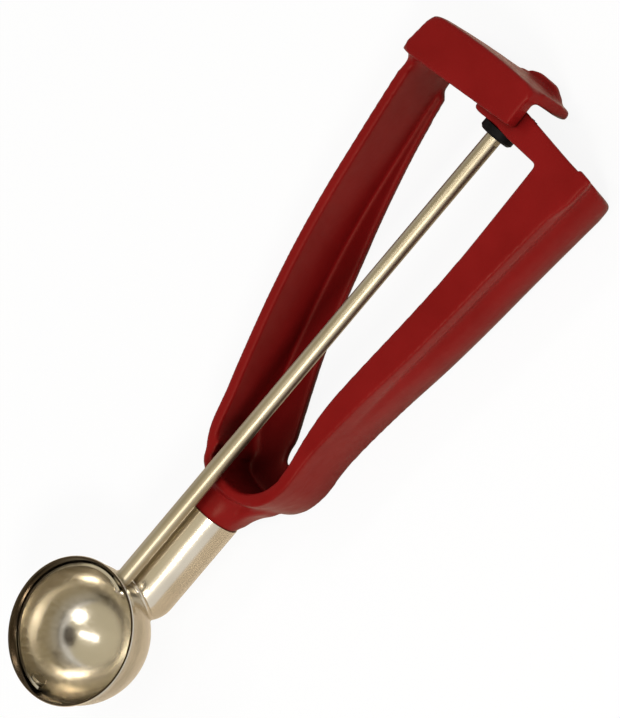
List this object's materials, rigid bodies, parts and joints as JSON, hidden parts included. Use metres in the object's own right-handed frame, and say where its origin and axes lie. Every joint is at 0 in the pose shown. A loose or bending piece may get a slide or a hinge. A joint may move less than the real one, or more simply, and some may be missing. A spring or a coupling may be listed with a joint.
{
  "type": "lever ice cream scoop",
  "caption": "Squeeze-handled scoop: a round bowl with a sweeping blade that a rod turns when the sprung finger arm's rack drives the pinion in the head.",
  "frame": {"origin": "foot of the flex axis on the handle's flat back face, directly behind the rod", "axes": "+Y from the bowl to the thumb rest, +X from the finger arm to the palm arm, +Z from the flat back to the open side of the bowl"},
  "size_m": [0.0788, 0.2563, 0.0381],
  "materials": {
    "red_plastic": "satin moulded",
    "stainless": "bright polished",
    "black_plastic": "matt moulded"
  },
  "bodies": {
    "handle": {"handle_frame": "red_plastic", "bowl": "stainless", "shank_tube": "stainless", "shank_rivet": "stainless", "rod_bushing": "black_plastic"},
    "lever": {"lever_arm": "red_plastic", "rack": "black_plastic"},
    "agitator": {"actuating_rod": "stainless", "pinion": "black_plastic", "scraper_blade": "stainless", "pivot_pin": "stainless"}
  },
  "joints": [
    {"name": "lever_squeeze", "type": "hinge", "parent": "handle", "child": "lever", "pos_m": [0, 0, 0], "axis": [0, 0, -1], "range_deg": [0, 7.26], "stiffness_Nm_per_rad": 8, "springref_deg": -3.44},
    {"name": "blade_turn", "type": "hinge", "parent": "handle", "child": "agitator", "pos_m": [0, -0.07, 0.0319], "axis": [0, -0.9982, 0.0593], "range_deg": [0, 165]}
  ],
  "couplings": [
    {"joint": "blade_turn", "follows": "lever_squeeze", "ratio": 22.708}
  ]
}
